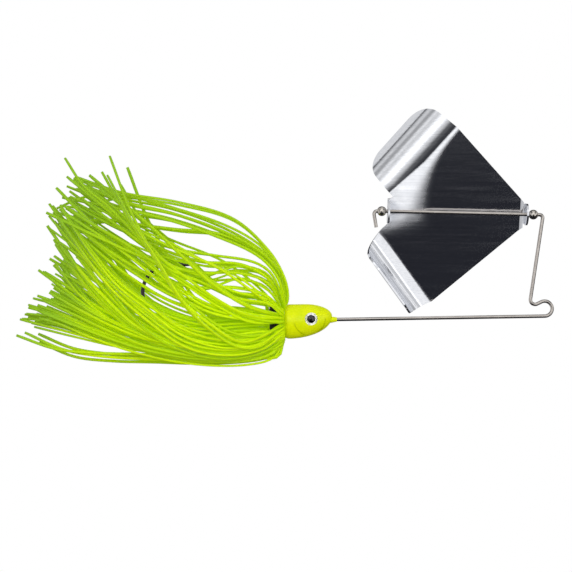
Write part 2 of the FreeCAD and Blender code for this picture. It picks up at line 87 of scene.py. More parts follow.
def add_camera():
    """Looks at the lure's right side. The lure sits above the middle of the view."""
    low, high = (Vector(corner) for corner in cad_box)
    middle = (low + high) / 2
    camera = bpy.data.objects.new("camera", bpy.data.cameras.new("camera"))
    camera.data.sensor_width = SENSOR_WIDTH
    camera.data.lens = SENSOR_WIDTH * VIEW_DISTANCE / VIEW_WIDTH
    camera.data.clip_start = CLIP_NEAR
    camera.data.clip_end = CLIP_FAR
    upright = Matrix.Rotation(math.pi / 2, 4, "X")
    roll = Matrix.Rotation(VIEW_ROLL, 4, "Y")
    place = Matrix.Translation((middle.x + VIEW_ALONG, -VIEW_DISTANCE, middle.z - VIEW_DROP))
    camera.matrix_world = place @ roll @ upright
    bpy.context.scene.collection.objects.link(camera)
    bpy.context.scene.camera = camera


# --- studio -------------------------------------------------------------------------------------------
FLOOR_DROP = 60 * MM
FLOOR_SIZE = 12.0
FLOOR_GREY = (0.3, 0.3, 0.3, 1.0)
PAPER = (1.0, 1.0, 1.0, 1.0)
DIFFUSE_SKY = (0.52, 0.52, 0.52, 1.0)
DARK_STUDIO = (0.020, 0.021, 0.027)
# The pale cards that the metal mirrors: the direction of each one's middle in the lure's frame, how far from
# there it is full and where it has faded out, in degrees, and its brightness.
MIRRORED_CARDS = (
    # to the right and above, for the wires
    ((0.00, -0.90, 0.42), 12.0, 31.0, 0.90),
    ((0.00, -0.35, 0.94), 20.0, 45.0, 0.70),
    # to the right and the rear, for the upper wing and the pressed strip beside it
    ((-0.22, -0.97, -0.10), 4.0, 15.0, 0.09),
    ((-0.40, -0.91, 0.08), 1.0, 21.0, 0.66),
    ((-0.55, -0.80, 0.25), 12.0, 23.0, 0.70),
    ((-0.73, -0.45, 0.51), 7.0, 18.0, 0.38),
    ((-0.76, -0.30, 0.57), 2.0, 9.0, 0.30),
    ((-0.73, 0.13, 0.66), 13.0, 18.0, 0.74),
    # just above what the plate mirrors, for its paler top
    ((0.05, -0.98, -0.21), 2.0, 13.5, 0.03),
    # low and to the rear, for the dented sheet and the folded ear
    ((-0.55, -0.75, -0.36), 6.0, 20.0, 0.55),
    ((-0.98, -0.12, -0.15), 22.0, 38.0, 0.62),
    ((-0.75, 0.66, 0.00), 18.0, 34.0, 0.72),
    # to the front, for the lower wing
    ((0.53, -0.79, -0.09), 24.5, 28.0, 0.97),
    ((0.90, -0.35, 0.25), 14.0, 25.0, 0.62),
    ((0.90, 0.12, 0.39), 16.0, 30.0, 0.42),
    ((0.72, 0.58, 0.37), 10.0, 20.0, 0.30),
    # to the left
    ((0.38, 0.91, 0.20), 14.0, 26.0, 0.40),
    ((0.00, 0.98, 0.10), 10.0, 40.0, 0.60),
)


def set_world():
    """White to the eye, and an even light on soft surfaces. Metal mirrors pale cards in a dark studio."""
    world = bpy.data.worlds.new("studio")
    bpy.context.scene.world = world
    world.use_nodes = True
    tree = world.node_tree
    tree.nodes.clear()
    out = tree.nodes.new("ShaderNodeOutputWorld")
    paper = background(tree, PAPER)
    sky = background(tree, DIFFUSE_SKY)
    studio = tree.nodes.new("ShaderNodeBackground")
    tree.links.new(mirrored_studio(tree), studio.inputs["Color"])
    paths = tree.nodes.new("ShaderNodeLightPath")
    soft = mixed(tree, paths.outputs["Is Diffuse Ray"], studio, sky)
    seen = mixed(tree, paths.outputs["Is Camera Ray"], soft, paper)
    tree.links.new(seen.outputs[0], out.inputs["Surface"])


def background(tree, colour):
    """An even background colour."""
    node = tree.nodes.new("ShaderNodeBackground")
    node.inputs["Color"].default_value = colour
    return node


def mixed(tree, factor, first, second):
    """The first shader where the factor is 0 and the second where it is 1."""
    node = tree.nodes.new("ShaderNodeMixShader")
    tree.links.new(factor, node.inputs["Fac"])
    tree.links.new(first.outputs[0], node.inputs[1])
    tree.links.new(second.outputs[0], node.inputs[2])
    return node


def mirrored_studio(tree):
    """The dark studio with its cards, by direction."""
    direction = tree.nodes.new("ShaderNodeTexCoord").outputs["Generated"]
    total = None
    for towards, full, gone, brightness in MIRRORED_CARDS:
        dot = tree.nodes.new("ShaderNodeVectorMath")
        dot.operation = "DOT_PRODUCT"
        dot.inputs[1].default_value = Vector(towards).normalized()
        tree.links.new(direction, dot.inputs[0])
        card = tree.nodes.new("ShaderNodeMapRange")
        card.interpolation_type = "SMOOTHSTEP"
        tree.links.new(dot.outputs["Value"], card.inputs[0])
        limits = (math.cos(math.radians(gone)), math.cos(math.radians(full)), 0.0, brightness)
        for socket, value in enumerate(limits, 1):
            card.inputs[socket].default_value = value
        added = tree.nodes.new("ShaderNodeVectorMath")
        added.operation = "ADD"
        tree.links.new(card.outputs[0], added.inputs[0])
        if total is None:
            added.inputs[1].default_value = DARK_STUDIO
        else:
            tree.links.new(total, added.inputs[1])
        total = added.outputs[0]
    return total


def floor_paper():
    """Pure white to the eye, and a grey that bounces little light up at the lure."""
    paper = bpy.data.materials.new("floor_paper")
    paper.use_nodes = True
    tree = paper.node_tree
    shader = tree.nodes["Principled BSDF"]
    shader.inputs["Base Color"].default_value = FLOOR_GREY
    shader.inputs["Roughness"].default_value = 0.9
    shader.inputs["Specular IOR Level"].default_value = 0.0
    glow = tree.nodes.new("ShaderNodeEmission")
    glow.inputs["Color"].default_value = PAPER
    paths = tree.nodes.new("ShaderNodeLightPath")
    seen = mixed(tree, paths.outputs["Is Camera Ray"], shader, glow)
    tree.links.new(seen.outputs[0], tree.nodes["Material Output"].inputs["Surface"])
    return paper


def add_floor():
    """A square of paper below the lure."""
    half = FLOOR_SIZE / 2
    z = cad_box[0][2] - FLOOR_DROP
    corners = [(-half, -half, z), (half, -half, z), (half, half, z), (-half, half, z)]
    mesh = bpy.data.meshes.new("floor")
    mesh.from_pydata(corners, [], [(0, 1, 2, 3)])
    mesh.materials.append(floor_paper())
    floor = bpy.data.objects.new("floor", mesh)
    floor.visible_glossy = False
    bpy.context.scene.collection.objects.link(floor)


# Each lamp's name, its place and aim, its width and height in metres, and its watts.
SOFTBOXES = (
    ("key_light", (-0.22, -0.64, 0.14), (-0.09, 0.0, 0.02), 0.45, 0.30, 2.3),
    ("top_light", (-0.05, 0.10, 0.60), (-0.08, 0.0, 0.02), 0.60, 0.40, 0.3),
    ("fill_light", (0.35, -0.50, 0.10), (-0.05, 0.0, 0.02), 0.30, 0.40, 1.4),
    ("back_light", (-0.10, 0.60, 0.20), (-0.08, 0.0, 0.02), 0.50, 0.40, 1.0),
)


def add_softboxes():
    """Soft rectangular lamps, which the metal doesn't mirror."""
    for name, place, aim, width, height, watts in SOFTBOXES:
        light = bpy.data.lights.new(name, "AREA")
        light.shape = "RECTANGLE"
        light.size = width
        light.size_y = height
        light.energy = watts
        lamp = bpy.data.objects.new(name, light)
        lamp.location = place
        lamp.rotation_euler = (Vector(aim) - Vector(place)).to_track_quat("-Z", "Y").to_euler()
        lamp.visible_glossy = False
        bpy.context.scene.collection.objects.link(lamp)


# --- material building --------------------------------------------------------------------------------
def rgb(red, green, blue):
    """An sRGB colour, 0 to 255, as linear values."""
    def linear(channel):
        part = channel / 255
        return part / 12.92 if part <= 0.04045 else ((part + 0.055) / 1.055) ** 2.4
    return linear(red), linear(green), linear(blue)


def opaque(colour):
    """A colour with its full alpha."""
    return (*colour, 1.0)


class Finish:
    """A procedural material: a Principled shader and the nodes that vary it over the surface."""

    def __init__(self, name, colour, roughness, metallic=0.0, **settings):
        self.material = bpy.data.materials.new(name)
        self.material.use_nodes = True
        self.tree = self.material.node_tree
        self.shader = self.tree.nodes["Principled BSDF"]
        self.colour(opaque(colour))
        self.roughness(roughness)
        self.set(self.shader, "Metallic", metallic)
        for socket, value in settings.items():
            self.set(self.shader, socket.replace("_", " "), value)

    def set(self, node, socket, value):
        """A socket's own value, or a link where the value is another node's output."""
        if isinstance(value, bpy.types.NodeSocket):
            self.tree.links.new(value, node.inputs[socket])
        else:
            node.inputs[socket].default_value = value

    def node(self, kind, output=0, operation=None, **inputs):
        """Adds a node and returns one of its outputs. Inputs go by name, or by place as i0, i1 and so on."""
        made = self.tree.nodes.new("ShaderNode" + kind)
        if operation:
            made.operation = operation
        for socket, value in inputs.items():
            key = int(socket[1:]) if socket[1:].isdigit() else socket.replace("_", " ")
            self.set(made, key, value)
        return made.outputs[output]

    def place(self):
        """Where a point lies in the lure's frame, in metres."""
        return self.node("TexCoord", output="Object")

    def math(self, operation, first, second=0.0, third=0.0):
        return self.node("Math", operation=operation, i0=first, i1=second, i2=third)

    def dot(self, vector, direction):
        return self.node("VectorMath", output="Value", operation="DOT_PRODUCT", i0=vector, i1=direction)

    def from_point(self, point):
        """The way from a fixed point."""
        return self.node("VectorMath", operation="SUBTRACT", i0=self.place(), i1=point)

    def length(self, vector):
        return self.node("VectorMath", output="Value", operation="LENGTH", i0=vector)

    def stretched(self, directions_and_scales):
        """Coordinates along three directions, each times its own scale."""
        place = self.place()
        parts = [self.math("MULTIPLY", self.dot(place, way), scale) for way, scale in directions_and_scales]
        return self.node("CombineXYZ", i0=parts[0], i1=parts[1], i2=parts[2])

    def noise(self, scale, detail=3.0, vector=None):
        vector = vector or self.place()
        return self.node("TexNoise", output="Fac", Vector=vector, Scale=scale, Detail=detail)

    def remap(self, value, from_low, from_high, to_low, to_high, smooth=False):
        """One range as another, held at its ends. A smooth one eases in and out."""
        out = self.node("MapRange", i0=value, i1=from_low, i2=from_high, i3=to_low, i4=to_high)
        if smooth:
            out.node.interpolation_type = "SMOOTHSTEP"
        return out

    def mix(self, factor, first, second):
        """Two colours mixed by a factor."""
        made = self.tree.nodes.new("ShaderNodeMix")
        made.data_type = "RGBA"
        self.set(made, 0, factor)
        self.set(made, 6, first)
        self.set(made, 7, second)
        return made.outputs[2]

    def bump(self, height, depth, strength=1.0, under=None):
        """Raises the surface by height times depth, in metres. It may lie on another bump."""
        out = self.node("Bump", Height=height, Distance=depth, Strength=strength)
        if under is not None:
            self.set(out.node, "Normal", under)
        self.set(self.shader, "Normal", out)
        return out

    def leaned(self, direction, slope):
        """The surface's normal, leaned by a slope towards a direction fixed to the object."""
        lean = self.node("VectorMath", operation="SCALE", i0=direction, Scale=slope)
        turned = self.node("VectorTransform", i0=lean)
        turned.node.vector_type = "VECTOR"
        turned.node.convert_from = "OBJECT"
        turned.node.convert_to = "WORLD"
        normal = self.node("NewGeometry", output="Normal")
        leaned = self.node("VectorMath", operation="ADD", i0=normal, i1=turned)
        return self.node("VectorMath", operation="NORMALIZE", i0=leaned)

    def colour(self, value):
        self.set(self.shader, "Base Color", value)

    def roughness(self, value):
        self.set(self.shader, "Roughness", value)


# --- metals -------------------------------------------------------------------------------------------
def wire_finish(name, colour, dark, roughness):
    """Drawn wire, with slight changes of colour and gloss, shallow waves and a fine grain."""
    made = Finish(name, colour, roughness, metallic=1.0)
    patches = made.noise(220, detail=2.0)
    made.colour(made.mix(made.remap(patches, 0.35, 0.7, 0.0, 0.6), opaque(colour), opaque(dark)))
    made.roughness(made.remap(made.noise(900), 0.3, 0.7, roughness * 0.8, roughness * 1.25))
    grain = made.bump(made.noise(3000, detail=2.0), 0.0003 * MM)
    made.bump(made.noise(900, detail=2.0), 0.001 * MM, under=grain)
    return made.material


# The upper wing's fold on the plate: its upper corner, and the directions down it and away from it.
FOLD_CORNER = SHAFT_POINT + SHAFT_AXIS * 23.0 * MM + PLATE_UP * 27.2 * MM + PLATE_OUT * 2.5 * MM
FOLD_ANGLE = math.radians(50.0)
DOWN_THE_FOLD = SHAFT_AXIS * -math.cos(FOLD_ANGLE) - PLATE_UP * math.sin(FOLD_ANGLE)
INTO_PLATE = SHAFT_AXIS * math.sin(FOLD_ANGLE) - PLATE_UP * math.cos(FOLD_ANGLE)
FOLD_LENGTH = 30 * MM
# The strip pressed along it: its width at the fold's two ends, how late it widens, how far the sheet leans
# there, and how much rougher it is.
PRESSED_WIDTHS = (1.1 * MM, 11.0 * MM)
PRESSED_WIDENING = 2.3
PRESSED_SLOPE = 0.41
PRESSED_ROUGHNESS = 0.20
# Where the lean fades: across the strip in its own widths, at the strip's edge by the fold, and in height
# over the shaft. At the fold's lower end that edge lies beyond the fold.
ACROSS_FADE = (0.1, 1.7)
EDGE_FADE = (-0.7 * MM, 0.3 * MM)
EDGE_BEYOND_FOLD = -1.6 * MM
HEIGHT_FADE = (-12.0 * MM, 2.0 * MM)
# The dent and the crinkles at the rear ear.
DENT_REACH = 10.0 * MM
DENT_DEPTH = 0.35 * MM
CRINKLE_REACH = 13.0 * MM
CRINKLE_DEPTH = 0.13 * MM


def blade_finish():
    """Rolled aluminium: brushed along the shaft, pressed at the upper wing and crinkled at the rear ear."""
    made = Finish("brushed_aluminium", (0.86, 0.87, 0.89), 0.09, metallic=1.0)
    brush_place = made.stretched(((SHAFT_AXIS, 22.0), (PLATE_UP, 2600.0), (PLATE_OUT, 2600.0)))
    brush = made.noise(1.0, detail=4.0, vector=brush_place)
    streak_place = made.stretched(((SHAFT_AXIS, 45.0), (PLATE_UP, 900.0), (PLATE_OUT, 900.0)))
    streaks = made.noise(1.0, detail=2.0, vector=streak_place)
    scuffs = made.noise(700, detail=6.0)
    slope = pressed_slope(made)
    smear = made.remap(slope, 0.0, 0.15, 0.0, PRESSED_ROUGHNESS, smooth=True)
    made.roughness(made.math("ADD", made.remap(streaks, 0.3, 0.75, 0.06, 0.13), smear))
    scuffed = made.remap(scuffs, 0.35, 0.75, 0.0, 0.3)
    brushed = made.remap(brush, 0.35, 0.75, 0.0, 0.5)
    shade = made.math("ADD", scuffed, brushed)
    made.colour(made.mix(shade, opaque((0.90, 0.91, 0.94)), opaque((0.66, 0.68, 0.72))))
    facing_right = made.dot(made.node("TexCoord", output="Normal"), -PLATE_OUT)
    pressed = made.leaned(-INTO_PLATE, made.math("MULTIPLY", slope, facing_right))
    dent = made.bump(near_rear_ear(made, DENT_REACH), -DENT_DEPTH, under=pressed)
    crinkles = made.math("MULTIPLY", made.noise(420, detail=3.0), near_rear_ear(made, CRINKLE_REACH))
    mottle = made.bump(crinkles, CRINKLE_DEPTH, under=dent)
    lines = made.bump(brush, 0.003 * MM, under=mottle)
    made.bump(scratches(made), 0.004 * MM, under=lines)
    return made.material


def pressed_slope(made):
    """How far the plate leans into the upper wing's fold, over a strip that widens down the fold."""
    from_corner = made.from_point(FOLD_CORNER)
    down = made.remap(made.dot(from_corner, DOWN_THE_FOLD), 0.0, FOLD_LENGTH, 0.0, 1.0)
    away = made.dot(from_corner, INTO_PLATE)
    width = made.remap(made.math("POWER", down, PRESSED_WIDENING), 0.0, 1.0, *PRESSED_WIDTHS)
    slope = made.remap(made.math("DIVIDE", away, width), *ACROSS_FADE, PRESSED_SLOPE, 0.0, smooth=True)
    edge = made.remap(down, 0.5, 1.0, 0.0, EDGE_BEYOND_FOLD)
    begun = made.remap(made.math("SUBTRACT", away, edge), *EDGE_FADE, 0.0, 1.0, smooth=True)
    height = made.dot(made.from_point(SHAFT_POINT), PLATE_UP)
    above_shaft = made.remap(height, *HEIGHT_FADE, 0.0, 1.0, smooth=True)
    return made.math("MULTIPLY", slope, made.math("MULTIPLY", above_shaft, begun))


def near_rear_ear(made, reach):
    """1 at the rear ear, falling to 0 at that reach."""
    return made.remap(made.length(made.from_point(SHAFT_POINT)), 0.0, reach, 1.0, 0.0, smooth=True)


def scratches(made):
    """A few long thin scratches, from the edges of a stretched cell pattern."""
    turned = Matrix.Rotation(math.radians(9), 3, SHAFT_AXIS.cross(UP))
    along = turned @ SHAFT_AXIS
    across = along.cross(TO_LEFT)
    place = made.stretched(((along, 25.0), (across, 260.0), (TO_LEFT, 60.0)))
    cells = made.node("TexVoronoi", Vector=place, Scale=1.0)
    cells.node.feature = "DISTANCE_TO_EDGE"
    return made.remap(cells.node.outputs["Distance"], 0.0, 0.03, 0.0, 1.0)


def bead_finish():
    """Nickel plate with duller, finely pitted patches."""
    made = Finish("nickel_plate", (0.66, 0.62, 0.57), 0.12, metallic=1.0)
    made.roughness(made.remap(made.noise(1500), 0.3, 0.7, 0.07, 0.2))
    dull = made.remap(made.noise(800), 0.4, 0.7, 0.0, 1.0)
    made.colour(made.mix(dull, opaque((0.70, 0.66, 0.60)), opaque((0.5, 0.46, 0.42))))
    made.bump(made.noise(2600, detail=4.0), 0.003 * MM)
    return made.material


# --- paint, eyes and rubber ---------------------------------------------------------------------------
# Painted shade in the casting's creases, which are arcs round the eye: the radius, and in degrees the arc's
# middle, from +X towards
# +Z, and half of its sweep.
GILL_ARC = (5.5 * MM, 222.0, 30.0)
CHEEK_ARC = (4.5 * MM, -30.0, 32.0)
ARC_HALF_WIDTH = 0.3 * MM
ARC_PAINTED_SHADE = 0.8
# The middle part of an arc's sweep that is fully painted dark.
ARC_DARK_SHARE = 0.7


def head_finish():
    """Fluorescent powder paint: an even glossy coat with a faint orange peel, greener where it is thin, with
    a painted glow and painted shade in its creases.
    """
    bright = rgb(205, 215, 0)
    # The emission is a painted glow that stands in for the paint's fluorescence and evens out its shading.
    made = Finish("chartreuse_paint", bright, 0.3, Specular_IOR_Level=0.15, Coat_Weight=0.05,
                  Coat_Roughness=0.12, Emission_Strength=0.12)
    made.set(made.shader, "Emission Color", opaque(bright))
    thin = made.remap(made.noise(260, detail=3.0), 0.42, 0.75, 0.0, 1.0)
    body = made.mix(thin, opaque(bright), opaque(rgb(190, 208, 0)))
    # Painted shade: the colour is darker down in the gill and cheek creases.
    made.colour(made.mix(painted_crease_shade(made), body, opaque(rgb(168, 180, 0))))
    made.roughness(made.remap(made.noise(1200), 0.3, 0.7, 0.2, 0.36))
    peel = made.bump(made.noise(900, detail=2.0), 0.02 * MM)
    made.bump(made.noise(3800, detail=3.0), 0.006 * MM, under=peel)
    return made.material


def painted_crease_shade(made):
    """How much painted shade a point gets: most down in the gill and cheek creases, and 0 outside them."""
    low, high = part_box("eye_foil_right")
    from_eye = made.from_point((low + high) / 2)
    flat = made.node("VectorMath", operation="MULTIPLY", i0=from_eye, i1=(1.0, 0.0, 1.0))
    away = made.length(flat)
    towards = made.node("VectorMath", operation="NORMALIZE", i0=flat)
    total = 0.0
    for radius, middle, half in (GILL_ARC, CHEEK_ARC):
        miss = made.math("ABSOLUTE", made.math("SUBTRACT", away, radius))
        ring = made.remap(miss, 0.0, ARC_HALF_WIDTH, ARC_PAINTED_SHADE, 0.0, smooth=True)
        angle = math.radians(middle)
        turned = made.dot(towards, Vector((math.cos(angle), 0.0, math.sin(angle))))
        end = math.cos(math.radians(half))
        dark = math.cos(math.radians(half * ARC_DARK_SHARE))
        arc = made.remap(turned, end, dark, 0.0, 1.0)
        total = made.math("ADD", total, made.math("MULTIPLY", ring, arc))
    return total


def foil_finish():
    """Embossed silver foil under the eye."""
    made = Finish("silver_foil", (0.93, 0.93, 0.92), 0.3, metallic=0.2)
    made.roughness(made.remap(made.noise(2500), 0.3, 0.7, 0.2, 0.4))
    made.bump(made.noise(4200, detail=2.0), 0.02 * MM)
    return made.material


def pupil_finish():
    """Printed black ink."""
    made = Finish("pupil_ink", (0.006, 0.006, 0.007), 0.3, Specular_IOR_Level=0.2)
    made.roughness(made.remap(made.noise(3000), 0.3, 0.7, 0.22, 0.4))
    made.bump(made.noise(5000, detail=2.0), 0.004 * MM)
    return made.material


def dome_finish():
    """Clear resin over the eye, as a thin layer that shows little but its reflections."""
    made = Finish("clear_resin", (0.92, 0.94, 0.95), 0.04, metallic=1.0, Alpha=0.07)
    made.roughness(made.remap(made.noise(1500), 0.35, 0.7, 0.01, 0.05))
    made.bump(made.noise(900, detail=2.0), 0.006 * MM)
    return made.material


def rubber_finish():
    """Dusty black rubber."""
    made = Finish("black_rubber", (0.014, 0.014, 0.013), 0.55, Specular_IOR_Level=0.2)
    dust = made.remap(made.noise(900, detail=4.0), 0.45, 0.8, 0.0, 1.0)
    made.colour(made.mix(dust, opaque((0.010, 0.010, 0.010)), opaque((0.035, 0.036, 0.03))))
    made.roughness(made.remap(made.noise(1800), 0.3, 0.7, 0.42, 0.68))
    made.bump(made.noise(2600, detail=5.0), 0.03 * MM)
    return made.material


def strand_finish():
    """Fluorescent silicone with a painted glow. Strands differ a little, painted shade makes them darker and
    greener high up, and they are greener at their ends.
    """
    bright = rgb(197, 222, 0)
    deep = opaque(rgb(160, 197, 0))
    high = opaque(rgb(136, 176, 22))
    tip = opaque(rgb(116, 160, 36))
    # The emission is a painted glow that stands in for the silicone's fluorescence and flattens the strands'
    # shading.
    made = Finish("chartreuse_silicone", bright, 0.42, Specular_IOR_Level=0.15, Emission_Strength=0.23)
    made.set(made.shader, "Emission Color", opaque(rgb(160, 200, 0)))
    body = made.mix(strand_value(made, "tone"), opaque(bright), deep)
    clouds = made.remap(made.noise(160, detail=3.0), 0.35, 0.7, 0.0, 0.35)
    body = made.mix(clouds, body, deep)
    # Painted shade: the higher a strand lies, the darker and greener its colour.
    height = made.node("SeparateXYZ", output="Z", i0=made.place())
    body = made.mix(made.remap(height, 8.0 * MM, 30.0 * MM, 0.0, 0.9), body, high)
    greener = made.remap(strand_value(made, "along"), 0.74, 1.0, 0.0, 0.95, smooth=True)
    made.colour(made.mix(greener, body, tip))
    made.roughness(made.remap(made.noise(1600), 0.3, 0.7, 0.38, 0.52))
    made.bump(made.noise(1600, detail=2.0), 0.002 * MM)
    return made.material


def strand_value(made, name):
    """A value that each strand's points carry."""
    value = made.node("Attribute", output="Fac")
    value.node.attribute_name = name
    return value


def paint_nodes():
    """Gives each CAD node that stays its material."""
    silver = foil_finish()
    ink = pupil_finish()
    resin = dome_finish()
    nickel = bead_finish()
    chosen = {
        "wire_frame": wire_finish("stainless_wire", (0.60, 0.56, 0.52), (0.45, 0.41, 0.38), 0.22),
        "hook": wire_finish("black_nickel", (0.06, 0.052, 0.055), (0.03, 0.026, 0.028), 0.2),
        "head_casting": head_finish(),
        "blade": blade_finish(),
        "front_bead": nickel,
        "rear_bead": nickel,
    }
    for side in ("right", "left"):
        chosen["eye_foil_" + side] = silver
        chosen["eye_pupil_" + side] = ink
        chosen["eye_dome_" + side] = resin
    for name, material in chosen.items():
        mesh = nodes[name].data
        mesh.materials.clear()
        mesh.materials.append(material)


# --- mesh building ------------------------------------------------------------------------------------
def new_piece(name, points, faces, material, replaced):
    """A mesh that rides on the lure and stands for those CAD nodes. Its four-sided faces are smooth."""
    mesh = bpy.data.meshes.new(name)
    mesh.from_pydata(points, [], faces)
    mesh.polygons.foreach_set("use_smooth", [len(face) == 4 for face in faces])
    mesh.materials.append(material)
    mesh.update()
    piece = bpy.data.objects.new(name, mesh)
    bpy.context.scene.collection.objects.link(piece)
    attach(piece, "lure")
    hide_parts(*replaced)
    return piece


# --- the band -----------------------------------------------------------------------------------------
BAND_LOW, BAND_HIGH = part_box("skirt_band")
BAND_RADIUS = (BAND_HIGH.z - BAND_LOW.z) / 2
ARM_Z = (BAND_HIGH.z + BAND_LOW.z) / 2
BAND_WALL = 1.6 * MM
BAND_STEPS = 136
BAND_PROFILE_STEPS = 24
SHOULDER = 0.5 * MM
GROOVE_DEPTH = 0.22 * MM
GROOVES = (0.33, 0.67)
GROOVE_WIDTH = 0.045
EDGE_ROUND = 0.3 * MM
BAND_SQUEEZE = 0.14 * MM
# The band's ripples: how many go round it, how high they are, and where they start.
BAND_RIPPLES = ((17, 0.09 * MM, 0.0), (5, 0.05 * MM, 1.0))


def around_arm(x, radius, angle):
    """A point round the arm's line. The angle is measured from straight up."""
    return Vector((x, radius * math.sin(angle), ARM_Z + radius * math.cos(angle)))


def band_profile():
    """(x, radius) round the ring's section: rounded shoulders and two moulded grooves."""
    front, rear = BAND_HIGH.x, BAND_LOW.x
    width = front - rear
    inset = 0.02 * width
    inner = BAND_RADIUS - BAND_WALL
    low_edge = inner + EDGE_ROUND
    high_edge = BAND_RADIUS - 2 * EDGE_ROUND
    outside = []
    for i in range(BAND_PROFILE_STEPS + 1):
        share = i / BAND_PROFILE_STEPS
        shoulder = SHOULDER * abs(2 * share - 1) ** 6
        cut = sum(math.exp(-((share - groove) / GROOVE_WIDTH) ** 2) for groove in GROOVES)
        x = front - inset - (width - 2 * inset) * share
        outside.append((x, BAND_RADIUS - shoulder - GROOVE_DEPTH * cut))
    front_end = [(front - inset, inner), (front, low_edge), (front, high_edge)]
    rear_end = [(rear, high_edge), (rear, low_edge), (rear + inset, inner)]
    return front_end + outside + rear_end


def add_band(material):
    """The rubber ring, squeezed into slight ripples by the strands under it."""
    profile = band_profile()
    count = len(profile)
    points = []
    faces = []
    for i in range(BAND_STEPS):
        angle = 2 * math.pi * i / BAND_STEPS
        ripple = sum(height * math.sin(number * angle + start) for number, height, start in BAND_RIPPLES)
        points += [around_arm(x, radius - BAND_SQUEEZE + ripple, angle) for x, radius in profile]
        here = i * count
        there = (i + 1) % BAND_STEPS * count
        for j in range(count):
            k = (j + 1) % count
            faces.append((here + j, here + k, there + k, there + j))
    band = new_piece("skirt_band_ring", points, faces, material, ["skirt_band"])


